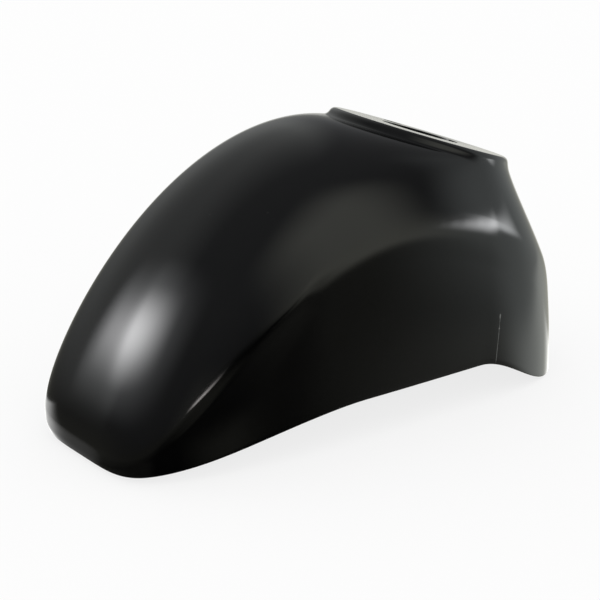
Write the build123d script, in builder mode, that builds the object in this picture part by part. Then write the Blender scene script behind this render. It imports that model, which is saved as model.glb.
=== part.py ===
from build123d import *
import math
import os

# Front mudguard of a small scooter, moulded in one piece.
# X points forward, Y to the rider's left, Z up.
# The origin is the middle of the steering hole, on the platform's top face.
# Heights are measured from the level of the rear corners; the nose stands a few millimetres above it.

# Steering platform, square to the steering axis
STEM_HEIGHT = 220.0
CASTER_ANGLE = 20.5
PLATFORM_RADIUS = 81.0
PLATFORM_RISE = 8.0
PLATFORM_FLARE = 3.0
PLATFORM_EDGE_RADIUS = 3.0
PLATFORM_THICKNESS = 4.0
STEM_HOLE_RADIUS = 35.0
HOSE_HOLE_RADIUS = 8.5
HOSE_HOLE_REACH = 57.0
HOSE_HOLE_BEARING = 255.0

# Screw bosses under the platform
BOSS_COUNT = 4
BOSS_CIRCLE_RADIUS = 57.0
BOSS_RADIUS = 8.0
BOSS_DEPTH = 14.0
SCREW_HOLE_RADIUS = 2.6
SCREW_HOLE_DEPTH = 15.0

# Moulding
WALL = 2.8

# Crown edge, the line that parts the crown from the skirt
WIDEST_X = 10.0
EDGE_NOSE_X = 360.0
EDGE_NOSE_HEIGHT = 17.0
EDGE_NOSE_SQUARENESS = 5.0
EDGE_HALF_WIDTH = 108.0
EDGE_SIDE_HEIGHT = 146.0
EDGE_REAR_X = -113.0
EDGE_REAR_HEIGHT = 70.0
EDGE_REAR_SQUARENESS = 2.6

# Lip of the crown edge along each side of the nose
LIP_DEPTH = 3.5
LIP_DROP = 5.0
LIP_END_X = 190.0

# Crown profile: how far each end of a guide runs on, and its slant in degrees
NOSE_PULL = 54.0
NOSE_LEAN = 2.5
BROW_PULL = 157.0
BROW_CLIMB = 14.0
SIDE_PULL = 19.0
SIDE_LEAN = 2.0
SHOULDER_PULL = 12.0
SHOULDER_FALL = 64.0
TAIL_PULL = 26.0
TAIL_LEAN = 1.0
NAPE_PULL = 24.0
NAPE_FALL = 85.0
ROUNDING_PACE = 1.3

# Rim of the skirt and its wheel arch
RIM_NOSE_X = 356.0
RIM_NOSE_SQUARENESS = 3.7
RIM_HALF_WIDTH = 113.0
RIM_REAR_X = -110.0
RIM_REAR_SQUARENESS = 2.9
ARCH_HEIGHT = 36.5
ARCH_FRONT_X = 410.0
ARCH_TOP_FRONT_X = 143.0
ARCH_TOP_REAR_X = 20.0
ARCH_REAR_X = -79.0

# Fineness of the curves and spare length for clean cuts
RING_STEPS = 24
CROWN_STEPS = 8
ROUND_SQUARENESS = 2.0
TRIM_LENGTH = 10.0

RIM_LEVEL = -STEM_HEIGHT
FOOT_RADIUS = PLATFORM_RADIUS + PLATFORM_FLARE
platform = Plane((0, 0, 0), x_dir=(1, 0, math.tan(math.radians(CASTER_ANGLE))), z_dir=(
    -math.sin(math.radians(CASTER_ANGLE)), 0, math.cos(math.radians(CASTER_ANGLE))))


def blend(start, start_pull, end_pull, end, step):
    """Point at a step from 0 to 1 of the curve between two ends that are pulled towards two more points."""
    rest = 1 - step
    return (start * rest**3 + start_pull * 3 * rest**2 * step
            + end_pull * 3 * rest * step**2 + end * step**3)


def pulled(point, length, angle):
    """The point moved by a length at an angle from level, in the plane of its first and second numbers."""
    return point + Vector(length, 0).rotate(Axis.Z, angle)


def ring_points(front, side, rear, widest, nose_squareness, rear_squareness):
    """Left half of an egg-shaped ring, from its front round to its rear.

    front and rear hold a length and a height, side holds a half width and a height at the widest place."""
    length = front.X - rear.X
    widest_share = (front.X - widest) / length
    chord = front.Y + (rear.Y - front.Y) * widest_share
    crest = (side.Y - chord) / math.sin(math.pi * widest_share)
    points = []
    for step in range(RING_STEPS + 1):
        turn = math.pi * step / RING_STEPS
        ahead = math.cos(turn)
        beside = math.sin(turn) if step < RING_STEPS else 0.0
        power = nose_squareness if ahead > 0 else rear_squareness
        swell = (abs(ahead)**power + abs(beside)**power)**(1 / power)
        reach = front.X - widest if ahead > 0 else widest - rear.X
        x = widest + reach * ahead / swell
        share = (front.X - x) / length
        z = front.Y + (rear.Y - front.Y) * share + crest * math.sin(math.pi * share)
        points.append(Vector(x, side.X * beside / swell, z))
    return points


def crown_points(step, inset):
    """Ring of the crown at a step from its edge, 0, to the foot of the platform, 1."""
    foot = platform.offset(-PLATFORM_RISE - inset)
    foot_front = foot.from_local_coords((FOOT_RADIUS - inset, 0, 0))
    foot_rear = foot.from_local_coords((inset - FOOT_RADIUS, 0, 0))
    middle = foot.origin
    front_end = Vector(foot_front.X, foot_front.Z)
    rear_end = Vector(foot_rear.X, foot_rear.Z)
    side_end = Vector(FOOT_RADIUS - inset, middle.Z)
    front_start = Vector(EDGE_NOSE_X - inset, RIM_LEVEL + EDGE_NOSE_HEIGHT)
    rear_start = Vector(EDGE_REAR_X + inset, RIM_LEVEL + EDGE_REAR_HEIGHT)
    side_start = Vector(EDGE_HALF_WIDTH - inset, RIM_LEVEL + EDGE_SIDE_HEIGHT)
    front = blend(front_start, pulled(front_start, NOSE_PULL, 90 + NOSE_LEAN),
                  pulled(front_end, BROW_PULL, BROW_CLIMB), front_end, step)
    side = blend(side_start, pulled(side_start, SIDE_PULL, 90 + SIDE_LEAN),
                 pulled(side_end, SHOULDER_PULL, -SHOULDER_FALL), side_end, step)
    rear = blend(rear_start, pulled(rear_start, TAIL_PULL, 90 - TAIL_LEAN),
                 pulled(rear_end, NAPE_PULL, 180 + NAPE_FALL), rear_end, step)
    keep = (1 - step)**ROUNDING_PACE
    return ring_points(
        front, side, rear, WIDEST_X + (middle.X - WIDEST_X) * step,
        ROUND_SQUARENESS + (EDGE_NOSE_SQUARENESS - ROUND_SQUARENESS) * keep,
        ROUND_SQUARENESS + (EDGE_REAR_SQUARENESS - ROUND_SQUARENESS) * keep)


def valley_points(inset):
    """Ring under the lip, where the skirt starts: drawn in along the nose's sides only."""
    points = []
    for point in crown_points(0, inset):
        share = max(0.0, (point.X - LIP_END_X) / (EDGE_NOSE_X - LIP_END_X))
        depth = LIP_DEPTH * max(0.0, math.sin(math.pi * share))
        half_width = math.hypot(point.X - WIDEST_X, point.Y)
        inward = Vector((WIDEST_X - point.X) / half_width, -point.Y / half_width)
        points.append(point + inward * depth - Vector(0, 0, LIP_DROP))
    return points


def rim_points(inset, level):
    """Ring of the skirt's lower edge before the wheel arch is cut."""
    return ring_points(Vector(RIM_NOSE_X - inset, level), Vector(RIM_HALF_WIDTH - inset, level),
                       Vector(RIM_REAR_X + inset, level), WIDEST_X, RIM_NOSE_SQUARENESS, RIM_REAR_SQUARENESS)


def ring(points):
    """Closed smooth line through a left half ring and its mirror image."""
    pace = [step / RING_STEPS for step in range(RING_STEPS + 1)]
    front_speed = (points[1] - points[0]).length * RING_STEPS
    rear_speed = (points[-1] - points[-2]).length * RING_STEPS
    with BuildLine() as line:
        add(Edge.make_spline(points, tangents=(Vector(0, front_speed), Vector(0, -rear_speed)),
                             parameters=pace, scale=False))
        mirror(about=Plane.XZ)
    return line.wire()


def brim(radius, depth):
    """Circle round the steering axis, at a depth under the platform's top face."""
    with BuildLine(platform.offset(-depth)) as line:
        ThreePointArc((radius, 0), (0, radius), (-radius, 0))
        mirror(about=Plane.XZ)
    return line.wire()


def body(inset, level, depth):
    """Solid inside the skin, drawn in by inset, from a level up to a depth under the platform's top face."""
    rim = ring(rim_points(inset, level))
    valley = ring(valley_points(inset))
    crown = [ring(crown_points(step / CROWN_STEPS, inset)) for step in range(CROWN_STEPS + 1)]
    top = brim(PLATFORM_RADIUS - inset, depth)
    skin = [Face(rim), Face(top)]
    skin += Shell.make_loft([rim, valley], ruled=True).faces()
    skin += Shell.make_loft([valley, crown[0]], ruled=True).faces()
    skin += Shell.make_loft(crown).faces()
    skin += Shell.make_loft([crown[-1], top], ruled=True).faces()
    return Solid(Shell(skin))


skin_body = body(0, RIM_LEVEL - TRIM_LENGTH, 0)
wheel_space = body(WALL, RIM_LEVEL - 2 * TRIM_LENGTH, PLATFORM_THICKNESS)
underside = platform.offset(-PLATFORM_THICKNESS)
boss_end = platform.offset(-PLATFORM_THICKNESS - BOSS_DEPTH)

with BuildPart() as mudguard_shell:
    # Moulded skin round the wheel's space
    add(skin_body)
    top_face = faces().filter_by(GeomType.PLANE).sort_by(Axis.Z)[-1]
    fillet(top_face.edges(), PLATFORM_EDGE_RADIUS)
    add(wheel_space, mode=Mode.SUBTRACT)

    # Wheel arch along the rim
    with BuildSketch(Plane.XZ):
        with BuildLine():
            rise_third = (ARCH_FRONT_X - ARCH_TOP_FRONT_X) / 3
            fall_third = (ARCH_TOP_REAR_X - ARCH_REAR_X) / 3
            arch_top = RIM_LEVEL + ARCH_HEIGHT
            Bezier((ARCH_FRONT_X, RIM_LEVEL), (ARCH_FRONT_X - rise_third, RIM_LEVEL),
                   (ARCH_TOP_FRONT_X + rise_third, arch_top), (ARCH_TOP_FRONT_X, arch_top))
            Line((ARCH_TOP_FRONT_X, arch_top), (ARCH_TOP_REAR_X, arch_top))
            Bezier((ARCH_TOP_REAR_X, arch_top), (ARCH_TOP_REAR_X - fall_third, arch_top),
                   (ARCH_REAR_X + fall_third, RIM_LEVEL), (ARCH_REAR_X, RIM_LEVEL))
            front_end = max(ARCH_FRONT_X, EDGE_NOSE_X, RIM_NOSE_X) + TRIM_LENGTH
            rear_end = min(ARCH_REAR_X, EDGE_REAR_X, RIM_REAR_X) - TRIM_LENGTH
            trim_level = RIM_LEVEL - 2 * TRIM_LENGTH
            Polyline((ARCH_REAR_X, RIM_LEVEL), (rear_end, RIM_LEVEL), (rear_end, trim_level),
                     (front_end, trim_level), (front_end, RIM_LEVEL), (ARCH_FRONT_X, RIM_LEVEL))
        make_face()
    extrude(amount=max(EDGE_HALF_WIDTH, RIM_HALF_WIDTH) + TRIM_LENGTH, both=True, mode=Mode.SUBTRACT)

    # Screw bosses under the platform, with blind holes
    with BuildSketch(underside):
        with PolarLocations(BOSS_CIRCLE_RADIUS, BOSS_COUNT, start_angle=180 / BOSS_COUNT):
            Circle(BOSS_RADIUS)
    extrude(amount=-BOSS_DEPTH)
    with BuildSketch(boss_end):
        with PolarLocations(BOSS_CIRCLE_RADIUS, BOSS_COUNT, start_angle=180 / BOSS_COUNT):
            Circle(SCREW_HOLE_RADIUS)
    extrude(amount=SCREW_HOLE_DEPTH, mode=Mode.SUBTRACT)

    # Steering hole and the smaller hole for the brake hose
    with BuildSketch(underside):
        Circle(STEM_HOLE_RADIUS)
        with PolarLocations(HOSE_HOLE_REACH, 1, start_angle=HOSE_HOLE_BEARING):
            Circle(HOSE_HOLE_RADIUS)
    extrude(amount=PLATFORM_THICKNESS, mode=Mode.SUBTRACT)

mudguard_shell.part.label = "mudguard_shell"
os.makedirs("parts", exist_ok=True)
export_step(mudguard_shell.part, "parts/mudguard_shell.step")
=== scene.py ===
"""Front mudguard of a small scooter: one gloss black moulding in a plain white studio."""

import logging
import math
from dataclasses import dataclass, field
from enum import Enum
from functools import cached_property
from typing import Any, Iterable, Sequence, Union

import bmesh
import bpy
import numpy as np
from mathutils import Matrix, Vector


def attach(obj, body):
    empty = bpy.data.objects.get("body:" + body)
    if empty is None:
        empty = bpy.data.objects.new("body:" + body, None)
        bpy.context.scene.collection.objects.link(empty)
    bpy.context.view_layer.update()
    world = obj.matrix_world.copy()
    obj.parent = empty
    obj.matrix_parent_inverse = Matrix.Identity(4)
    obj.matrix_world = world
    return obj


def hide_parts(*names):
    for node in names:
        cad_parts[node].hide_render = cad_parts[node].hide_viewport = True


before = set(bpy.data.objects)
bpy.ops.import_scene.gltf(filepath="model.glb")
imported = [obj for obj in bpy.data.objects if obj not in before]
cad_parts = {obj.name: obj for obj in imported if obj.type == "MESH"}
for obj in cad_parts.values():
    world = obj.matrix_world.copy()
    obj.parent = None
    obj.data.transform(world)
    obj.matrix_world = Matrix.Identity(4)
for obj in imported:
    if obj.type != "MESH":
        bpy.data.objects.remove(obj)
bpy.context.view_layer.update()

Array = np.ndarray
Mesh = bmesh.types.BMesh
Socket = bpy.types.NodeSocket
Edges = list[bmesh.types.BMEdge]
Colour = tuple[float, float, float]
Pair = tuple[float, float]

MM = 0.001
TINY = 1e-9
GRAZING = 0.05
IMAGE_SIZE = 600
INNER_SIDE = "inner_side"
WHITE: Colour = (1.0, 1.0, 1.0)
# Sockets of a Mix node for colours: the two colours, and the result.
COLOUR_UNDER, COLOUR_OVER, COLOUR_RESULT = 6, 7, 2
log = logging.getLogger("mudguard")


class Value:
    """A number socket of a shader, whose maths is written as Python expressions."""

    def __init__(self, tree: "ShaderTree", socket: Socket) -> None:
        """Keep a socket and the tree that it belongs to."""
        self.tree = tree
        self.socket = socket

    def math(self, operation: str, *terms: Any) -> "Value":
        """Result of one Math node, by its operation and its inputs in order."""
        node = self.tree.node("ShaderNodeMath", {"operation": operation}, dict(enumerate(terms)))
        return Value(self.tree, node.outputs[0])

    def __add__(self, other: Any) -> "Value":
        """Sum of two values."""
        return self.math("ADD", self, other)

    def __radd__(self, other: Any) -> "Value":
        """Sum with a number on the left."""
        return self.math("ADD", other, self)

    def __sub__(self, other: Any) -> "Value":
        """Difference of two values."""
        return self.math("SUBTRACT", self, other)

    def __rsub__(self, other: Any) -> "Value":
        """Difference with a number on the left."""
        return self.math("SUBTRACT", other, self)

    def __mul__(self, other: Any) -> "Value":
        """Product of two values."""
        return self.math("MULTIPLY", self, other)

    def __rmul__(self, other: Any) -> "Value":
        """Product with a number on the left."""
        return self.math("MULTIPLY", other, self)

    def __pow__(self, power: Any) -> "Value":
        """Value raised to a power."""
        return self.math("POWER", self, power)

    def __abs__(self) -> "Value":
        """Value without its sign."""
        return self.math("ABSOLUTE", self)

    def above(self, limit: float) -> "Value":
        """One where the value is over a limit, nought elsewhere."""
        return self.math("GREATER_THAN", self, limit)

    def larger(self, other: Any) -> "Value":
        """The larger of two values."""
        return self.math("MAXIMUM", self, other)

    def fade(self, start: float, end: float) -> "Value":
        """Smooth step from nought at start to one at end."""
        node = self.tree.node(
            "ShaderNodeMapRange",
            {"interpolation_type": "SMOOTHSTEP", "clamp": True},
            {"Value": self, "From Min": start, "From Max": end},
        )
        return Value(self.tree, node.outputs["Result"])

    def length(self, other: "Value") -> "Value":
        """Length of a flat vector from its two parts."""
        return (self * self + other * other) ** 0.5


def whole(colour: Union[Socket, Colour]) -> Any:
    """Colour with the fourth number that a socket takes; a link stays as it is."""
    return colour if isinstance(colour, Socket) else (*colour, 1.0)


class ShaderTree:
    """Node tree of a material or of the world."""

    def __init__(self, owner: Union[bpy.types.Material, bpy.types.World]) -> None:
        """Clear the owner's nodes, ready for new ones."""
        owner.use_nodes = True
        self.owner = owner
        self.tree = owner.node_tree
        self.tree.nodes.clear()

    @cached_property
    def place(self) -> Socket:
        """Place on a piece, or in the world the direction of a ray."""
        kind = "Generated" if isinstance(self.owner, bpy.types.World) else "Object"
        return self.node("ShaderNodeTexCoord").outputs[kind]

    def node(
        self,
        kind: str,
        settings: Union[dict[str, Any], None] = None,
        sockets: Union[dict[Any, Any], None] = None,
    ) -> bpy.types.Node:
        """Add a node.

        Args:
            kind: Type name of the node.
            settings: Properties of the node, set first.
            sockets: Values or links of its inputs, by name or number.

        Returns:
            The new node.
        """
        made = self.tree.nodes.new(kind)
        for name, setting in (settings or {}).items():
            setattr(made, name, setting)
        for name, content in (sockets or {}).items():
            if isinstance(content, Value):
                content = content.socket
            if isinstance(content, Socket):
                self.tree.links.new(content, made.inputs[name])
            else:
                made.inputs[name].default_value = content
        return made

    def value(self, node: bpy.types.Node, output: Union[str, int] = 0) -> Value:
        """Output of a node as a value for expressions."""
        return Value(self, node.outputs[output])

    def noise(self, waves: Pair) -> Value:
        """Soft noise from 0 to 1, with so many waves per metre and so many finer layers."""
        sockets = {"Vector": self.place, "Scale": waves[0], "Detail": waves[1]}
        return self.value(self.node("ShaderNodeTexNoise", None, sockets), "Fac")

    def dot(self, direction: Vector) -> Value:
        """Cosine of the angle between a ray and a direction."""
        settings = {"operation": "DOT_PRODUCT"}
        node = self.node("ShaderNodeVectorMath", settings, {0: self.place, 1: tuple(direction)})
        return self.value(node, "Value")

    def seen(self) -> Value:
        """One for rays from the camera or through clear material, nought for others."""
        rays = self.node("ShaderNodeLightPath")
        return self.value(rays, "Is Camera Ray").larger(self.value(rays, "Is Transmission Ray"))

    def colour(self, amount: Value, under: Union[Socket, Colour], over: Colour) -> Socket:
        """Colour laid over another by its share, from 0 to 1."""
        sockets = {"Factor": amount, COLOUR_UNDER: whole(under), COLOUR_OVER: whole(over)}
        return self.node("ShaderNodeMix", {"data_type": "RGBA"}, sockets).outputs[COLOUR_RESULT]

    def blend(self, amount: Value, first: Socket, second: Socket) -> Socket:
        """Two shaders mixed by the share of the second."""
        sockets = {0: amount, 1: first, 2: second}
        return self.node("ShaderNodeMixShader", None, sockets).outputs["Shader"]

    def glow(self, colour: Union[Socket, Colour], strength: Union[Value, float]) -> Socket:
        """Light that comes from the room."""
        sockets = {"Color": whole(colour), "Strength": strength}
        return self.node("ShaderNodeBackground", None, sockets).outputs["Background"]


@dataclass(frozen=True)
class GlossBlackPlastic:
    """Polished black moulding: near black, glossy outside, duller inside, with a little wear.

    Lengths are in metres on the part, and colours are linear. A noise is given by its waves per
    metre and its number of finer layers, and a fade by the values at which it starts and ends.
    """

    base: Colour = (0.0008, 0.0008, 0.0009)
    worn: Colour = (0.0014, 0.0014, 0.0014)
    dust: Colour = (0.09, 0.09, 0.085)
    scratch: Colour = (0.13, 0.13, 0.125)
    ior: float = 1.5
    roughness: float = 0.075
    roughness_spread: float = 0.03
    inner_roughness: float = 0.38
    inner_spread: float = 0.12
    haze_noise: Pair = (14.0, 5.0)
    haze_fade: Pair = (0.3, 0.8)
    peel_noise: Pair = (420.0, 2.0)
    peel_height: float = 0.012
    grain_noise: Pair = (1500.0, 3.0)
    grain_height: float = 0.25
    bump_strength: float = 0.35
    bump_depth: float = 0.0003
    speck_scale: float = 70.0
    speck_choice: float = 0.86
    speck_least: float = 0.014
    speck_spread: float = 0.018
    speck_fade: Pair = (0.0, 0.5)
    speck_dulling: float = 0.35
    scratch_top: Pair = (-0.0021, -0.1400)
    scratch_foot: Pair = (0.0021, -0.1840)
    scratch_width: float = 0.0005
    scratch_core: float = 0.3
    scratch_end: float = 0.004
    scratch_height: float = 0.6
    scratch_cover: float = 0.85
    scratch_dulling: float = 0.4
    wander_noise: Pair = (90.0, 2.0)
    wander_width: float = 0.0012
    break_noise: Pair = (260.0, 3.0)
    break_fade: Pair = (0.3, 0.6)
    break_least: float = 0.3
    break_spread: float = 0.5
    nick_width: float = 0.0011
    nick_fade: Pair = (1.0, 0.4)
    nicks: tuple[Pair, ...] = ((-0.1425, 0.0032), (-0.1535, 0.0013))

    def make(self, name: str) -> bpy.types.Material:
        """Build the material.

        Args:
            name: Name of the material.

        Returns:
            The finished material.
        """
        material = bpy.data.materials.new(name)
        tree = ShaderTree(material)
        inner = tree.value(tree.node("ShaderNodeAttribute", {"attribute_name": INNER_SIDE}), "Fac")
        outer = 1 - inner
        haze = tree.noise(self.haze_noise)
        peel = tree.noise(self.peel_noise)
        grain = tree.noise(self.grain_noise)
        dust = self.dust_mask(tree) * outer
        scratch = self.scratch_mask(tree) * outer
        plain = tree.colour(haze.fade(*self.haze_fade), self.base, self.worn)
        dusted = tree.colour(dust, plain, self.dust)
        marked = tree.colour(scratch * self.scratch_cover, dusted, self.scratch)
        rough = (self.roughness + haze * self.roughness_spread) * outer
        rough = rough + inner * (self.inner_roughness + grain * self.inner_spread)
        height = peel * outer * self.peel_height + grain * inner * self.grain_height
        relief = {
            "Strength": self.bump_strength,
            "Distance": self.bump_depth,
            "Height": height - scratch * self.scratch_height,
        }
        surface = {
            "Base Color": marked,
            "Roughness": rough + dust * self.speck_dulling + scratch * self.scratch_dulling,
            "IOR": self.ior,
            "Normal": tree.node("ShaderNodeBump", None, relief).outputs["Normal"],
        }
        plastic = tree.node("ShaderNodeBsdfPrincipled", None, surface)
        tree.node("ShaderNodeOutputMaterial", None, {"Surface": plastic.outputs["BSDF"]})
        return material

    def dust_mask(self, tree: ShaderTree) -> Value:
        """Few fine specks of dust.

        Args:
            tree: Node tree to add to.

        Returns:
            Mask from 0 to 1.
        """
        sockets = {"Vector": tree.place, "Scale": self.speck_scale, "Randomness": 1.0}
        cells = tree.node("ShaderNodeTexVoronoi", {"feature": "F1"}, sockets)
        pick = tree.node("ShaderNodeSeparateColor", None, {"Color": cells.outputs["Color"]})
        chosen = tree.value(pick, "Red").above(self.speck_choice)
        size = tree.value(pick, "Green") * self.speck_spread + self.speck_least
        specks = 1 - tree.value(cells, "Distance") * (size ** -1.0)
        return specks.fade(*self.speck_fade) * chosen

    def scratch_mask(self, tree: ShaderTree) -> Value:
        """One pale upright scratch on the rear of the left skirt.

        Args:
            tree: Node tree to add to.

        Returns:
            Mask from 0 to 1.
        """
        axes = tree.node("ShaderNodeSeparateXYZ", None, {"Vector": tree.place})
        x, y, z = (tree.value(axes, axis) for axis in "XYZ")
        top_x, top_z = self.scratch_top
        foot_x, foot_z = self.scratch_foot
        slope = (foot_x - top_x) / (foot_z - top_z)
        wander = (tree.noise(self.wander_noise) - 0.5) * self.wander_width
        aside = abs(x - ((z - top_z) * slope + top_x) - wander)
        line = aside.fade(self.scratch_width, self.scratch_width * self.scratch_core)
        foot = z.fade(foot_z - self.scratch_end, foot_z + self.scratch_end)
        top = z.fade(top_z, top_z - self.scratch_end)
        broken = tree.noise(self.break_noise).fade(*self.break_fade)
        mark = line * foot * top * (self.break_least + broken * self.break_spread)
        for middle, reach in self.nicks:
            across = aside * (1 / self.nick_width)
            along = (z - middle) * (1 / reach)
            mark = mark.larger(across.length(along).fade(*self.nick_fade))
        return mark * y.above(0.0)


@dataclass(frozen=True)
class PaleFloor:
    """White studio floor that keeps a faint shadow."""

    white: Colour = (0.93, 0.93, 0.93)
    glow: float = 0.8

    def make(self, name: str) -> bpy.types.Material:
        """Build the material.

        Args:
            name: Name of the material.

        Returns:
            The finished material.
        """
        material = bpy.data.materials.new(name)
        tree = ShaderTree(material)
        matt = tree.node("ShaderNodeBsdfDiffuse", None, {"Color": whole(self.white)})
        bright = tree.node("ShaderNodeEmission", None, {"Color": whole(WHITE), "Strength": 1.0})
        lit = tree.blend(tree.seen() * self.glow, matt.outputs["BSDF"], bright.outputs["Emission"])
        clear = tree.node("ShaderNodeBsdfTransparent")
        below = tree.value(tree.node("ShaderNodeNewGeometry"), "Backfacing")
        floor = tree.blend(below, lit, clear.outputs["BSDF"])
        tree.node("ShaderNodeOutputMaterial", None, {"Surface": floor})
        return material


class RingWall:
    """Closed ring of vertices that is extruded, ring after ring, into a wall."""

    def __init__(self, mesh: Mesh, points: Array, inner: float) -> None:
        """Lay the first ring.

        Args:
            mesh: Mesh to build in.
            points: Places of the ring's vertices, in millimetres.
            inner: How far the ring is on the inside of the moulding, from 0 to 1.
        """
        self.mesh = mesh
        self.layer = mesh.verts.layers.float[INNER_SIDE]
        self.ring = bmesh.ops.create_circle(mesh, segments=len(points), radius=1.0)["verts"]
        self.settle(points, inner)

    def settle(self, points: Array, inner: float) -> None:
        """Move the current ring to its places.

        Args:
            points: Places of the ring's vertices, in millimetres.
            inner: How far the ring is on the inside of the moulding, from 0 to 1.
        """
        for vertex, point in zip(self.ring, points):
            vertex.co = point * MM
            vertex[self.layer] = inner

    def edges(self) -> Edges:
        """Edges of the current ring."""
        following = self.ring[1:] + self.ring[:1]
        return [self.mesh.edges.get(pair) for pair in zip(self.ring, following)]

    def grow(self, points: Array, inner: float) -> None:
        """Extrude the current ring to a new one.

        Args:
            points: Places of the new ring's vertices, in millimetres.
            inner: How far the new ring is on the inside of the moulding, from 0 to 1.
        """
        made = bmesh.ops.extrude_edge_only(self.mesh, edges=self.edges())["geom"]
        fresh = {item for item in made if isinstance(item, bmesh.types.BMVert)}
        self.ring = [
            next(
                edge.other_vert(vertex)
                for edge in vertex.link_edges
                if edge.other_vert(vertex) in fresh
            )
            for vertex in self.ring
        ]
        self.settle(points, inner)

    def close(self) -> None:
        """Close the current ring with one face."""
        bmesh.ops.contextual_create(self.mesh, geom=self.edges())


def soft_corner(
    start: Sequence[float], corner: Sequence[float], end: Sequence[float], steps: int = 4
) -> list[Pair]:
    """Rounded corner between two stations of a turned wall.

    Args:
        start: Radius and depth where the rounding starts.
        corner: Radius and depth of the sharp corner.
        end: Radius and depth where the rounding ends.
        steps: Number of steps.

    Returns:
        Stations of radius and depth, both ends included.
    """
    stations = []
    for step in np.linspace(0.0, 1.0, steps + 1):
        rest = 1.0 - step
        stations.append(
            tuple(
                rest * rest * a + 2 * rest * step * b + step * step * c
                for a, b, c in zip(start, corner, end)
            )
        )
    return stations


def egg_ring(
    turns: Array,
    front: Sequence[float],
    side: Sequence[float],
    rear: Sequence[float],
    widest: float,
    squareness: Pair,
) -> Array:
    """Left half of an egg-shaped ring, from its front round to its rear.

    Args:
        turns: Turns from the front, 0, to the rear, pi.
        front: Length and height of the front end.
        side: Half width and height at the widest place.
        rear: Length and height of the rear end.
        widest: Length at which the ring is widest.
        squareness: How square the front and the rear corners are, 2 for round.

    Returns:
        One point for each turn.
    """
    length = front[0] - rear[0]
    widest_share = (front[0] - widest) / length
    chord = front[1] + (rear[1] - front[1]) * widest_share
    crest = (side[1] - chord) / math.sin(math.pi * widest_share)
    ahead = np.cos(turns)
    beside = np.where(np.sin(turns) < TINY, 0.0, np.sin(turns))
    power = np.where(ahead > 0, squareness[0], squareness[1])
    swell = (np.abs(ahead) ** power + beside**power) ** (1 / power)
    x = widest + np.where(ahead > 0, front[0] - widest, widest - rear[0]) * ahead / swell
    share = (front[0] - x) / length
    z = front[1] + (rear[1] - front[1]) * share + crest * np.sin(np.pi * share)
    return np.stack([x, side[0] * beside / swell, z], axis=-1)


def pulled(point: Array, length: float, angle: float) -> Array:
    """Point moved by a length at an angle, in degrees from level."""
    return point + length * np.array([math.cos(math.radians(angle)), math.sin(math.radians(angle))])


def ramp(value: Array, start: float, end: float) -> Array:
    """Smooth step of values, from 0 at start to 1 at end."""
    share = np.clip((value - start) / (end - start), 0.0, 1.0)
    return share * share * (3 - 2 * share)


def cubic(start: Array, leave: Array, arrive: Array, end: Array, step: Any) -> Array:
    """Points of a cubic curve, by its ends and the points it leaves towards and arrives from."""
    rest = 1.0 - step
    near = leave * 3 * rest**2 * step
    return start * rest**3 + near + arrive * 3 * rest * step**2 + end * step**3


def add_object(mesh: Mesh, name: str) -> bpy.types.Object:
    """Put a finished mesh into the scene.

    Args:
        mesh: The finished mesh, which is freed.
        name: Name of the object and of its mesh.

    Returns:
        The new object.
    """
    data = bpy.data.meshes.new(name)
    mesh.to_mesh(data)
    mesh.free()
    made = bpy.data.objects.new(name, data)
    bpy.context.scene.collection.objects.link(made)
    return made


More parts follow.
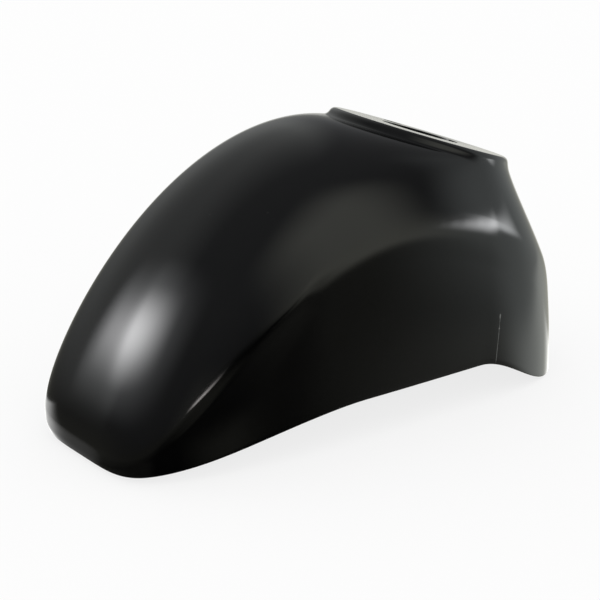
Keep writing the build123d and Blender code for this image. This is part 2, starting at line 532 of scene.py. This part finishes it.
@dataclass(frozen=True)
class SteeringPlatform:
    """Raised round platform that the steering column passes through, in millimetres and degrees."""

    stem_height: float = 220.0
    caster_angle: float = 20.5
    radius: float = 81.0
    rise: float = 8.0
    flare: float = 3.0
    thickness: float = 4.0
    stem_hole_radius: float = 35.0
    hose_hole_radius: float = 8.5
    hose_hole_reach: float = 57.0
    hose_hole_bearing: float = 255.0
    boss_count: int = 4
    boss_circle_radius: float = 57.0
    boss_radius: float = 8.0
    boss_depth: float = 14.0
    screw_hole_radius: float = 2.6
    screw_hole_depth: float = 15.0
    edge_round: float = 0.35
    boss_foot_round: float = 1.6
    top_fill_radius: float = 74.0
    under_fill_radius: float = 72.0
    stem_hole_segments: int = 128
    hose_hole_segments: int = 48
    boss_segments: int = 32

    def spot(self, ahead: Array, beside: Array, depth: float) -> Array:
        """Points on or under the platform's top face.

        Args:
            ahead: Distances along the platform, forward from its middle.
            beside: Distances to the left of its middle.
            depth: Depth under the top face.

        Returns:
            Points in the part's frame.
        """
        lean = math.radians(self.caster_angle)
        along = np.asarray(ahead)
        x = along * math.cos(lean) + depth * math.sin(lean)
        z = along * math.sin(lean) - depth * math.cos(lean)
        return np.stack([x, np.asarray(beside), z], axis=-1)

    def circle(self, radius: float, depth: float, turns: Array) -> Array:
        """Points of a circle round the steering axis, one for each turn from the front."""
        return self.spot(radius * np.cos(turns), radius * np.sin(turns), depth)

    def turned(
        self,
        mesh: Mesh,
        reach: float,
        bearing: float,
        stations: Iterable[Sequence[float]],
        segments: int,
    ) -> tuple[RingWall, Edges]:
        """Turned wall about an axis square to the platform.

        Args:
            mesh: Mesh to build in.
            reach: Distance of the axis from the platform's middle.
            bearing: Bearing of the axis from the front, in degrees.
            stations: Radius and depth of each ring.
            segments: Points in a ring.

        Returns:
            The wall and the edges of its first ring.
        """
        turns = np.linspace(0.0, 2 * math.pi, segments, endpoint=False)
        ahead = reach * math.cos(math.radians(bearing))
        beside = reach * math.sin(math.radians(bearing))
        wall: Union[RingWall, None] = None
        first: Edges = []
        for radius, depth in stations:
            along, across = radius * np.cos(turns), radius * np.sin(turns)
            points = self.spot(ahead + along, beside + across, depth)
            inner = min(1.0, depth / self.thickness)
            if wall is None:
                wall = RingWall(mesh, points, inner)
                first = wall.edges()
            else:
                wall.grow(points, inner)
        return wall, first

    def cut_hole(
        self, mesh: Mesh, radius: float, reach: float, bearing: float, segments: int
    ) -> tuple[Edges, Edges]:
        """Wall of a hole through the platform, with softened edges.

        Args:
            mesh: Mesh to build in.
            radius: Radius of the hole.
            reach: Distance of its middle from the platform's middle.
            bearing: Bearing of its middle from the front, in degrees.
            segments: Points in a ring.

        Returns:
            Edges of the ring on the top face and of the ring on the underside.
        """
        soft = self.edge_round
        deep = self.thickness
        stations = soft_corner((radius + soft, 0.0), (radius, 0.0), (radius, soft))
        stations += soft_corner((radius, deep - soft), (radius, deep), (radius + soft, deep))
        wall, top = self.turned(mesh, reach, bearing, stations, segments)
        return top, wall.edges()

    def add_boss(self, mesh: Mesh, bearing: float) -> Edges:
        """Screw boss under the platform, with its blind hole.

        Args:
            mesh: Mesh to build in.
            bearing: Bearing of the boss from the front, in degrees.

        Returns:
            Edges of the boss's foot on the underside.
        """
        soft = self.edge_round
        deep = self.thickness
        end = deep + self.boss_depth
        wide = self.boss_radius
        bore = self.screw_hole_radius
        foot = self.boss_foot_round
        stations = soft_corner((wide + foot, deep), (wide, deep), (wide, deep + foot))
        stations += soft_corner((wide, end - soft), (wide, end), (wide - soft, end))
        stations += soft_corner((bore + soft, end), (bore, end), (bore, end - soft), 3)
        stations.append((bore, end - self.screw_hole_depth))
        reach, segments = self.boss_circle_radius, self.boss_segments
        wall, first = self.turned(mesh, reach, bearing, stations, segments)
        wall.close()
        return first

    def fill(
        self,
        mesh: Mesh,
        under_ring: Edges,
        top_ring: Edges,
    ) -> None:
        """Close the platform's two faces round its holes and bosses.

        Args:
            mesh: Mesh to build in.
            under_ring: Edges of the underside's outer ring.
            top_ring: Edges of the top face's outer ring.
        """
        under = list(under_ring)
        top = list(top_ring)
        for radius, reach, bearing, segments in (
            (self.stem_hole_radius, 0.0, 0.0, self.stem_hole_segments),
            (
                self.hose_hole_radius,
                self.hose_hole_reach,
                self.hose_hole_bearing,
                self.hose_hole_segments,
            ),
        ):
            above, below = self.cut_hole(mesh, radius, reach, bearing, segments)
            top += above
            under += below
        for step in range(self.boss_count):
            under += self.add_boss(mesh, 360.0 * (step + 0.5) / self.boss_count)
        bmesh.ops.triangle_fill(mesh, use_beauty=True, edges=top)
        bmesh.ops.triangle_fill(mesh, use_beauty=True, edges=under)


@dataclass(frozen=True)
class Crown:
    """Humped top between the crown edge and the platform's foot, in millimetres and degrees."""

    platform: SteeringPlatform = field(default_factory=SteeringPlatform)
    widest_x: float = 10.0
    edge_nose_x: float = 360.0
    edge_nose_height: float = 17.0
    edge_half_width: float = 108.0
    edge_side_height: float = 146.0
    edge_rear_x: float = -113.0
    edge_rear_height: float = 70.0
    edge_squareness: Pair = (5.0, 2.6)
    nose_pull: float = 54.0
    nose_lean: float = 2.5
    brow_pull: float = 157.0
    brow_climb: float = 14.0
    side_pull: float = 19.0
    side_lean: float = 2.0
    shoulder_pull: float = 12.0
    shoulder_fall: float = 64.0
    tail_pull: float = 26.0
    tail_lean: float = 1.0
    nape_pull: float = 24.0
    nape_fall: float = 85.0
    rounding_pace: float = 1.3
    round_squareness: float = 2.0
    fine_turns: int = 4001

    def guide(self, start: Array, leave: Pair, arrive: Pair, end: Array, step: float) -> Array:
        """Point of a guide up to the platform's foot, by the pull and slant at each end."""
        return cubic(start, pulled(start, *leave), pulled(end, *arrive), end, step)

    def ring(self, step: float, inset: float, turns: Array) -> Array:
        """Ring of the crown.

        Args:
            step: Step from the edge, 0, to the foot of the platform, 1.
            inset: How far the ring is drawn in from the outer skin.
            turns: Turns from the front, 0, to the rear, pi.

        Returns:
            One point for each turn.
        """
        platform = self.platform
        level = -platform.stem_height
        radius = platform.radius + platform.flare - inset
        depth = platform.rise + inset
        ends = platform.spot(np.array([radius, 0.0, -radius]), np.zeros(3), depth)
        middle = ends[1]
        front = self.guide(
            np.array([self.edge_nose_x - inset, level + self.edge_nose_height]),
            (self.nose_pull, 90 + self.nose_lean),
            (self.brow_pull, self.brow_climb),
            ends[0, [0, 2]],
            step,
        )
        side = self.guide(
            np.array([self.edge_half_width - inset, level + self.edge_side_height]),
            (self.side_pull, 90 + self.side_lean),
            (self.shoulder_pull, -self.shoulder_fall),
            np.array([radius, middle[2]]),
            step,
        )
        rear = self.guide(
            np.array([self.edge_rear_x + inset, level + self.edge_rear_height]),
            (self.tail_pull, 90 - self.tail_lean),
            (self.nape_pull, 180 + self.nape_fall),
            ends[2, [0, 2]],
            step,
        )
        keep = (1.0 - step) ** self.rounding_pace
        squareness = tuple(
            self.round_squareness + (corner - self.round_squareness) * keep
            for corner in self.edge_squareness
        )
        widest = self.widest_x + (middle[0] - self.widest_x) * step
        return egg_ring(turns, front, side, rear, widest, squareness)

    def even_turns(self, count: int) -> Array:
        """Turns that divide the crown edge's left half evenly.

        Args:
            count: Number of parts.

        Returns:
            The turns, from 0 to pi.
        """
        fine = np.linspace(0.0, math.pi, self.fine_turns)
        spans = np.linalg.norm(np.diff(self.ring(0.0, 0.0, fine), axis=0), axis=1)
        run = np.concatenate([[0.0], np.cumsum(spans)])
        return np.interp(np.linspace(0.0, run[-1], count + 1), run, fine)


@dataclass(frozen=True)
class Skirt:
    """Side wall under the crown edge, with its lip, its rim and its wheel arch, in millimetres."""

    crown: Crown = field(default_factory=Crown)
    lip_depth: float = 4.4
    lip_draw: float = 0.5
    lip_drop: float = 8.6
    lip_start_y: float = 66.0
    lip_full_y: float = 92.0
    lip_end_x: float = 185.0
    lip_full_x: float = 265.0
    cove_height: float = 40.0
    cove_least: float = 0.35
    bulge: float = 1.0
    bulge_start_x: float = 230.0
    bulge_full_x: float = 120.0
    rim_nose_x: float = 356.0
    rim_half_width: float = 113.0
    rim_rear_x: float = -110.0
    rim_squareness: Pair = (3.7, 2.9)
    arch_height: float = 36.5
    arch_front_x: float = 410.0
    arch_top_front_x: float = 143.0
    arch_top_rear_x: float = 20.0
    arch_rear_x: float = -79.0
    trim_length: float = 10.0
    cut_rounds: int = 40

    def lip(self, edge: Array) -> Array:
        """Share of the lip's depth along the crown edge: none across the nose or behind its end."""
        corner = ramp(edge[:, 1], self.lip_start_y, self.lip_full_y)
        return corner * ramp(edge[:, 0], self.lip_end_x, self.lip_full_x)

    def inward(self, edge: Array) -> Array:
        """Level directions from points of the crown edge towards the middle of the part."""
        towards = (np.array([self.crown.widest_x, 0.0, 0.0]) - edge) * np.array([1.0, 1.0, 0.0])
        return towards / np.linalg.norm(towards, axis=1)[:, None]

    def valley(self, edge: Array) -> Array:
        """Ring under the lip's face, where the skirt's cove starts, drawn in beside the nose."""
        drawn = self.inward(edge) * (self.lip_draw * self.lip(edge))[:, None]
        return edge + drawn - np.array([0.0, 0.0, self.lip_drop])

    def arch(self, x: Array) -> Array:
        """Height of the rim's cut.

        Args:
            x: Lengths along the part.

        Returns:
            One height for each length.
        """
        rise = ramp(x, self.arch_front_x, self.arch_top_front_x)
        fall = ramp(x, self.arch_rear_x, self.arch_top_rear_x)
        return -self.crown.platform.stem_height + self.arch_height * np.minimum(rise, fall)

    def wall(self, edge: Array, inset: float, turns: Array, steps: int) -> Array:
        """Rings of the skirt from its cut rim up to the valley, coved under the lip.

        Args:
            edge: Ring of the crown edge.
            inset: How far the wall is drawn in from the outer skin.
            turns: Turns of the points from the front.
            steps: Number of rings.

        Returns:
            Rings of points, the rim first.
        """
        level = -self.crown.platform.stem_height - self.trim_length
        foot = egg_ring(
            turns,
            (self.rim_nose_x - inset, level),
            (self.rim_half_width - inset, level),
            (self.rim_rear_x + inset, level),
            self.crown.widest_x,
            self.rim_squareness,
        )
        lip = self.lip(edge)
        flare = -self.inward(edge) * ((self.lip_depth - self.lip_draw) * lip)[:, None]
        head = self.valley(edge) - flare
        low = np.zeros(len(turns))
        high = np.ones(len(turns))
        for _ in range(self.cut_rounds):
            middle = (low + high) / 2
            point = foot + (head - foot) * middle[:, None]
            under = point[:, 2] < self.arch(point[:, 0])
            low = np.where(under, middle, low)
            high = np.where(under, high, middle)
        shares = high[None, :] + (1.0 - high)[None, :] * np.linspace(0.0, 1.0, steps)[:, None]
        plain = foot[None] + (head - foot)[None] * shares[:, :, None]
        below = (1.0 - shares) * np.linalg.norm(head - foot, axis=1)
        room = (1.0 - high) * np.linalg.norm(head - foot, axis=1)
        share = self.cove_least + (1.0 - self.cove_least) * lip
        cove = np.minimum(self.cove_height * share, room)
        rest = np.clip(1.0 - below / cove[None, :], 0.0, 1.0) ** 2
        height = np.clip(below / room[None, :], 0.0, 1.0)
        swell = ramp(edge[:, 0], self.bulge_start_x, self.bulge_full_x)
        rounded = 4 * height * (1.0 - height) * self.bulge * swell
        swollen = self.inward(edge)[None] * rounded[:, :, None]
        return plain + flare[None] * rest[:, :, None] - swollen


class Corner(Enum):
    """Corners of the moulding's section, in order from the underside, over the rim, to the top."""

    UNDER_BRIM = (1.5, 4, 0)
    UNDER_FOOT = (4.0, 5, 1)
    UNDER_EDGE = (4.0, 8, 40)
    UNDER_VALLEY = (2.0, 4, 1)
    RIM_INSIDE = (0.9, 4, 12)
    RIM_OUTSIDE = (1.0, 5, 0)
    VALLEY = (2.0, 6, 16)
    EDGE = (5.4, 14, 1)
    FOOT = (3.9, 9, 64)
    BRIM = (4.4, 9, 1)

    def __init__(self, reach: float, rings: int, lead: int) -> None:
        """Keep a corner's rounding.

        Args:
            reach: How far the rounding reaches to each side of the corner, in millimetres.
            rings: Number of rings across the rounding.
            lead: Number of rings between the corner before and this one.
        """
        self.reach = reach
        self.rings = rings
        self.lead = lead


@dataclass
class MudguardShell:
    """The whole moulding: crown, skirt and platform as one closed wall, in millimetres."""

    name: str = "mudguard_moulding"
    wall: float = 2.8
    half_turns: int = 170
    crown_steps: int = 161
    skirt_steps: int = 81
    rear_edge_reach: float = 22.0
    nose_edge_reach: float = 3.6
    stretch_steps: int = 8
    crisp_share: float = 0.5
    corner_gap: float = 0.5
    corner_pull: float = 2 / 3
    slope_length: float = 0.05
    skirt: Skirt = field(default_factory=Skirt)
    finish: GlossBlackPlastic = field(default_factory=GlossBlackPlastic)

    @property
    def crown(self) -> Crown:
        """Crown that the skirt hangs from."""
        return self.skirt.crown

    @property
    def platform(self) -> SteeringPlatform:
        """Platform on the crown."""
        return self.crown.platform

    def side_rings(self, inset: float, turns: Array) -> list[Array]:
        """Rings of one side of the wall, in stretches from the rim up to the platform.

        Args:
            inset: How far the side is drawn in from the outer skin.
            turns: Turns of the points from the front.

        Returns:
            Stretches of rings: skirt, lip, crown, flank and platform face.
        """
        steps = np.linspace(0.0, 1.0, self.crown_steps)
        crown = np.stack([self.crown.ring(step, inset, turns) for step in steps])
        valley = self.skirt.valley(crown[0])
        skirt = self.skirt.wall(crown[0], inset, turns, self.skirt_steps)
        depth = self.platform.thickness if inset else 0.0
        fill = self.platform.under_fill_radius if inset else self.platform.top_fill_radius
        brim = self.platform.circle(self.platform.radius - inset, depth, turns)
        flat = self.platform.circle(fill, depth, turns)
        blend = np.linspace(0.0, 1.0, self.stretch_steps)[:, None, None]
        return [
            skirt,
            valley + (crown[0] - valley) * blend,
            crown,
            crown[-1] + (brim - crown[-1]) * blend,
            brim + (flat - brim) * blend,
        ]

    def section(self, turns: Array) -> tuple[Array, list[int]]:
        """Fine rings over the whole section, with sharp corners.

        Args:
            turns: Turns of the points from the front.

        Returns:
            Rings from the underside over the rim to the top, and the corners' ring numbers.
        """
        inside = [stretch[::-1] for stretch in reversed(self.side_rings(self.wall, turns))]
        outside = self.side_rings(0.0, turns)
        blend = np.linspace(0.0, 1.0, self.stretch_steps)[:, None, None]
        strip = inside[-1][-1] + (outside[0][0] - inside[-1][-1]) * blend
        stretches = [*inside, strip, *outside]
        rings = [stretches[0]]
        corners = []
        count = len(stretches[0])
        for stretch in stretches[1:]:
            corners.append(count - 1)
            rings.append(stretch[1:])
            count += len(stretch) - 1
        return np.concatenate(rings), corners

    def edge_reach(self, edge: Array) -> Array:
        """Reach of the crown edge's rounding: crisp along the lip, soft at the nose and the rear.

        Args:
            edge: Ring of the crown edge.

        Returns:
            One reach for each point.
        """
        along = ramp(edge[:, 0], self.skirt.lip_end_x, self.crown.edge_nose_x)
        plain = self.rear_edge_reach + (self.nose_edge_reach - self.rear_edge_reach) * along
        crisp = ramp(self.skirt.lip(edge), 0.0, self.crisp_share)
        return plain + (Corner.EDGE.reach - plain) * crisp

    def stations(self) -> tuple[Array, Array]:
        """Rings of the finished left half, with rounded corners.

        Returns:
            Rings of points, and for each ring how far it is on the inside, from 0 to 1.
        """
        turns = self.crown.even_turns(self.half_turns)
        rings, corners = self.section(turns)
        edge_reach = self.edge_reach(self.crown.ring(0.0, 0.0, turns))
        columns = [
            self.column(points, corners, reach)
            for points, reach in zip(rings.swapaxes(0, 1), edge_reach)
        ]
        finished = np.stack(columns, axis=1)
        finished[:, [0, -1], 1] = 0.0
        inside = list(Corner)[: list(Corner).index(Corner.RIM_OUTSIDE)]
        inside_rings = 1 + sum(corner.rings + corner.lead for corner in inside)
        inner = np.where(np.arange(len(finished)) < inside_rings, 1.0, 0.0)
        return finished, inner

    def column(self, points: Array, corners: Sequence[int], edge_reach: float) -> Array:
        """Section at one turn, with its corners rounded.

        Args:
            points: Fine points of the section.
            corners: Numbers of the corner points.
            edge_reach: Reach of the crown edge's rounding here.

        Returns:
            Points of the finished section.
        """
        run = np.concatenate([[0.0], np.cumsum(np.linalg.norm(np.diff(points, axis=0), axis=1))])

        def at(places: Any) -> Array:
            """Points at places along the section."""
            return np.stack([np.interp(places, run, points[:, axis]) for axis in range(3)], axis=-1)

        place = {corner: run[index] for corner, index in zip(Corner, corners)}
        reach = {corner: corner.reach for corner in Corner}
        reach[Corner.EDGE] = edge_reach
        reach[Corner.UNDER_EDGE] = max(edge_reach, Corner.UNDER_EDGE.reach)
        over = reach[Corner.EDGE] + reach[Corner.VALLEY] + self.corner_gap
        place[Corner.VALLEY] = min(place[Corner.VALLEY], place[Corner.EDGE] - over)
        under = reach[Corner.UNDER_EDGE] + reach[Corner.UNDER_VALLEY] + self.corner_gap
        least = place[Corner.UNDER_EDGE] + under
        place[Corner.UNDER_VALLEY] = max(place[Corner.UNDER_VALLEY], least)
        made = [at([0.0])]
        last = 0.0
        for corner in Corner:
            start = place[corner] - reach[corner]
            end = place[corner] + reach[corner]
            made.append(at(np.linspace(last, start, corner.lead + 2)[1:-1]))
            first, second = at([start, end])
            before, after = at([start - self.slope_length, end + self.slope_length])
            pull = reach[corner] * self.corner_pull / self.slope_length
            step = np.linspace(0.0, 1.0, corner.rings)[:, None]
            leave = first + (first - before) * pull
            arrive = second - (after - second) * pull
            made.append(cubic(first, leave, arrive, second, step))
            last = end
        made.append(at([run[-1]]))
        return np.concatenate(made)

    def build(self) -> bpy.types.Object:
        """Model the moulding.

        Returns:
            The finished piece, with its place in its mesh.
        """
        mesh = bmesh.new()
        mesh.verts.layers.float.new(INNER_SIDE)
        half, inner = self.stations()
        other = half[:, -2:0:-1] * np.array([1.0, -1.0, 1.0])
        rings = np.concatenate([half, other], axis=1)
        wall = RingWall(mesh, rings[0], inner[0])
        under_ring = wall.edges()
        for points, side in zip(rings[1:], inner[1:]):
            wall.grow(points, side)
        self.platform.fill(mesh, under_ring, wall.edges())
        bmesh.ops.recalc_face_normals(mesh, faces=mesh.faces)
        for face in mesh.faces:
            face.smooth = True
        open_edges = sum(1 for edge in mesh.edges if not edge.is_manifold)
        piece = add_object(mesh, self.name)
        log.info("%s: %d faces, %d open edges", self.name, len(piece.data.polygons), open_edges)
        return piece

    def dress(self, piece: bpy.types.Object) -> None:
        """Give the moulding its finish and its place in the frame.

        Args:
            piece: The moulding.
        """
        piece.data.materials.append(self.finish.make("gloss_black_plastic"))
        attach(piece, "root")
        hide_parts("mudguard_shell")


def heading(azimuth: float, elevation: float) -> Vector:
    """Unit direction from an azimuth, front to left, and an elevation, both in degrees."""
    around, above = math.radians(azimuth), math.radians(elevation)
    level = math.cos(above)
    return Vector((math.cos(around) * level, math.sin(around) * level, math.sin(above)))


@dataclass(frozen=True)
class LightPlane:
    """Plane of a far light or card, by the direction to its middle and its roll, in degrees."""

    azimuth: float
    elevation: float
    roll: float = 0.0

    def axes(self) -> tuple[Vector, Vector, Vector]:
        """Directions of the plane.

        Returns:
            Unit directions to the plane's middle, across it and up it.
        """
        middle = heading(self.azimuth, self.elevation)
        level = heading(self.azimuth + 90.0, 0.0)
        turn = Matrix.Rotation(math.radians(self.roll), 3, middle)
        return middle, turn @ level, turn @ middle.cross(level)

    def meet(self, tree: ShaderTree) -> tuple[Value, Value, Value]:
        """Place where a ray meets the plane.

        Args:
            tree: Node tree of the room.

        Returns:
            Places across and up the plane, as tangents of the angle from its middle, and one where
            the plane is ahead.
        """
        ahead, beside, above = (tree.dot(axis) for axis in self.axes())
        scale = ahead.larger(GRAZING) ** -1.0
        return beside * scale, above * scale, ahead.above(GRAZING)


@dataclass(frozen=True)
class SoftPanel:
    """Flat light panel or card with straight, soft edges.

    Its extents and the softness of its edges are tangents of the angle from its middle.
    """

    name: str
    plane: LightPlane
    across: Pair
    upward: Pair
    across_soft: Pair
    upward_soft: Pair
    brightness: float
    tint: Colour = WHITE

    def band(self, place: Value, extent: Pair, soft: Pair) -> Value:
        """One between two edges, fading to nought across the width of each."""
        lower = place.fade(extent[0] - soft[0] / 2, extent[0] + soft[0] / 2)
        return lower * place.fade(extent[1] + soft[1] / 2, extent[1] - soft[1] / 2)

    def mask(self, tree: ShaderTree) -> Value:
        """Mask of the panel.

        Args:
            tree: Node tree of the room.

        Returns:
            One where a ray meets the panel, nought elsewhere.
        """
        beside, above, ahead = self.plane.meet(tree)
        across = self.band(beside, self.across, self.across_soft)
        return across * self.band(above, self.upward, self.upward_soft) * ahead


@dataclass(frozen=True)
class RoundLamp:
    """Round or oval lamp that fades from its core to its edge.

    Its half widths are tangents of the angle from its middle, and the core is a share of them.
    """

    name: str
    plane: LightPlane
    half_widths: Pair
    core: float
    brightness: float
    tint: Colour = WHITE

    def mask(self, tree: ShaderTree) -> Value:
        """Mask of the lamp.

        Args:
            tree: Node tree of the room.

        Returns:
            One where a ray meets the lamp's core, fading to nought at its edge.
        """
        beside, above, ahead = self.plane.meet(tree)
        across = beside * (1 / self.half_widths[0])
        upward = above * (1 / self.half_widths[1])
        return across.length(upward).fade(1.0, self.core) * ahead


@dataclass(frozen=True)
class Studio:
    """Plain white studio: floor, room, light panels and camera."""

    floor_level: float = -0.22
    floor_size: float = 6.0
    floor_x: float = 0.12
    soft_glow: float = 1.0
    room_glow: float = 0.112
    ceiling_glow: float = 0.127
    rear_glow: float = 0.903
    rear_azimuth: float = -143.6
    rear_elevation: float = -40.0
    rear_focus: float = 14.0
    ground_dark: float = 0.575
    ground_fade: Pair = (-0.353, -0.468)
    ground_tint: Colour = (1.0, 1.0, 0.88)
    ceiling_tint: Colour = (0.95, 0.97, 1.0)
    tint_fade: Pair = (-0.25, 0.15)
    view_azimuth: float = 53.0
    view_elevation: float = 19.4
    view_distance: float = 1.75
    view_aim: tuple[float, float, float] = (0.13, 0.0, -0.105)
    view_pixels: float = 2012.5
    aim_pixel: Pair = (303.07, 272.28)
    sensor: float = 36.0
    floor_finish: PaleFloor = field(default_factory=PaleFloor)
    lights: tuple[Union[SoftPanel, RoundLamp], ...] = (
        SoftPanel(
            "side_panel", LightPlane(104.7, 42.3, 22.9), (-0.336, 0.254), (-1.602, 0.409),
            (0.450, 0.400), (0.243, 0.900), 0.706, (0.985, 1.0, 0.88),
        ),
        SoftPanel(
            "nose_panel", LightPlane(-16.4, 6.5, 20.0), (-0.650, -0.227), (0.462, 0.625),
            (0.109, 0.979), (0.372, 0.367), 12.567, (0.995, 0.99, 1.0),
        ),
        SoftPanel(
            "nose_fill", LightPlane(-10.3, 16.5, 11.0), (-0.978, -0.214), (0.200, 0.505),
            (0.244, 1.797), (0.673, 0.533), 3.094, (0.96, 0.98, 1.0),
        ),
        SoftPanel(
            "far_panel", LightPlane(-109.0, 14.5, 0.2), (-0.301, 1.755), (-0.179, 0.580),
            (0.186, 0.414), (0.599, 2.533), 0.353, (0.97, 1.0, 0.96),
        ),
        SoftPanel(
            "table_panel", LightPlane(174.5, -41.3, 13.4), (-0.594, 0.446), (-0.381, 0.487),
            (0.905, 0.768), (0.243, 0.090), 0.606, (0.98, 1.0, 0.93),
        ),
        SoftPanel(
            "cheek_panel", LightPlane(172.5, 19.5, -36.0), (-0.421, 0.729), (-1.284, 0.067),
            (0.323, 1.147), (0.683, 1.530), 0.736, (0.93, 1.0, 0.99),
        ),
        SoftPanel(
            "backdrop_panel", LightPlane(-109.6, -18.9, 8.9), (-1.153, 0.905), (-0.401, -0.006),
            (1.422, 0.579), (0.335, 0.029), 1.680,
        ),
        SoftPanel(
            "platform_board", LightPlane(-131.0, -11.0), (-0.280, 0.260), (-0.090, 0.120),
            (0.120, 0.100), (0.060, 0.080), 0.300,
        ),
        SoftPanel(
            "ground_board", LightPlane(0.0, -89.0), (-0.220, 0.220), (-0.220, 0.220),
            (0.080, 0.080), (0.080, 0.080), 0.800,
        ),
        RoundLamp(
            "shoulder_lamp", LightPlane(141.8, 0.2, 36.4), (0.229, 0.066), 0.000, 7.991,
            (0.98, 0.985, 1.0),
        ),
        SoftPanel(
            "shoulder_glow", LightPlane(154.0, -0.7, -3.3), (-0.180, 0.143), (-0.022, 0.084),
            (0.217, 0.420), (0.090, 0.085), 4.863, (0.97, 0.985, 1.0),
        ),
    )
    near_lights: tuple[SoftPanel, ...] = (
        SoftPanel(
            "lip_fill", LightPlane(85.9, -3.2, -38.9), (-0.631, 0.600), (-0.336, 0.003),
            (0.862, 0.232), (0.584, 0.217), 0.142, (1.0, 1.0, 0.85),
        ),
        SoftPanel(
            "lip_strip", LightPlane(75.6, 0.7, -7.6), (-0.130, 0.100), (-0.005, 0.023),
            (0.160, 0.220), (0.012, 0.030), 9.000, (1.0, 0.95, 0.93),
        ),
    )
    black_card: SoftPanel = SoftPanel(
        "black_card", LightPlane(85.0, -20.0, -26.1), (-0.271, 0.538), (-0.800, 0.406),
        (0.700, 0.380), (0.281, 0.120), 0.999,
    )

    def build_floor(self) -> bpy.types.Object:
        """Lay the floor.

        Returns:
            The floor's object.
        """
        mesh = bmesh.new()
        bmesh.ops.create_grid(mesh, x_segments=1, y_segments=1, size=self.floor_size / 2)
        bmesh.ops.translate(mesh, verts=mesh.verts, vec=(self.floor_x, 0.0, self.floor_level))
        floor = add_object(mesh, "studio_floor")
        floor.data.materials.append(self.floor_finish.make("pale_floor"))
        floor.visible_glossy = False
        return floor

    def build_world(self) -> None:
        """White room for the camera, plain soft light, and the panels that the gloss mirrors."""
        world = bpy.data.worlds.new("studio_room")
        bpy.context.scene.world = world
        tree = ShaderTree(world)
        gloss = self.room_light(tree)
        for light in self.lights:
            gloss = self.add_light(tree, gloss, light)
        cover = self.black_card.mask(tree) * self.black_card.brightness
        gloss = tree.blend(cover, gloss, tree.glow(WHITE, 0.0))
        for light in self.near_lights:
            gloss = self.add_light(tree, gloss, light)
        seen = tree.seen()
        white = tree.glow(WHITE, seen + (1 - seen) * self.soft_glow)
        mirrored = tree.value(tree.node("ShaderNodeLightPath"), "Is Glossy Ray") * (1 - seen)
        tree.node("ShaderNodeOutputWorld", None, {"Surface": tree.blend(mirrored, white, gloss)})

    def add_light(
        self, tree: ShaderTree, room: Socket, light: Union[SoftPanel, RoundLamp]
    ) -> Socket:
        """Add a light to the room.

        Args:
            tree: Node tree of the room.
            room: Room so far.
            light: The light to add.

        Returns:
            Room with the light.
        """
        strength = light.mask(tree) * light.brightness
        shine = tree.glow(light.tint, strength)
        log.info("light %s", light.name)
        return tree.node("ShaderNodeAddShader", None, {0: room, 1: shine}).outputs["Shader"]

    def room_light(self, tree: ShaderTree) -> Socket:
        """Dim room round the panels: lighter overhead and behind the object, darker below.

        Args:
            tree: Node tree of the room.

        Returns:
            The room's light.
        """
        up = tree.value(tree.node("ShaderNodeSeparateXYZ", None, {"Vector": tree.place}), "Z")
        facing = tree.dot(heading(self.rear_azimuth, self.rear_elevation))
        level = up.larger(0.0) * self.ceiling_glow + self.room_glow
        level = level + (facing * 0.5 + 0.5).larger(0.0) ** self.rear_focus * self.rear_glow
        level = level * (1 - up.fade(*self.ground_fade) * self.ground_dark)
        tint = tree.colour(up.fade(*self.tint_fade), self.ground_tint, self.ceiling_tint)
        return tree.glow(tint, level)

    def build_camera(self) -> bpy.types.Object:
        """Set the camera at the photograph's angle.

        Returns:
            The camera's object.
        """
        lens = bpy.data.cameras.new("studio_camera")
        lens.sensor_width = self.sensor
        lens.lens = self.sensor * self.view_pixels / IMAGE_SIZE
        lens.shift_x = (IMAGE_SIZE / 2 - self.aim_pixel[0]) / IMAGE_SIZE
        lens.shift_y = (self.aim_pixel[1] - IMAGE_SIZE / 2) / IMAGE_SIZE
        back = heading(self.view_azimuth, self.view_elevation)
        camera = bpy.data.objects.new("studio_camera", lens)
        camera.location = Vector(self.view_aim) + back * self.view_distance
        camera.rotation_euler = back.to_track_quat("Z", "Y").to_euler()
        bpy.context.scene.collection.objects.link(camera)
        bpy.context.scene.camera = camera
        return camera

    def build(self) -> None:
        """Make the whole studio."""
        bpy.context.scene.view_settings.view_transform = "Standard"
        self.build_camera()
        self.build_world()
        floor = self.build_floor()
        log.info("stage %s", floor.name)


def main() -> None:
    """Build the mudguard and its studio."""
    logging.basicConfig(level=logging.INFO, format="%(name)s: %(message)s")
    Studio().build()
    shell = MudguardShell()
    piece = shell.build()
    shell.dress(piece)
    log.info("built %s", piece.name)


if __name__ == "__main__":
    main()
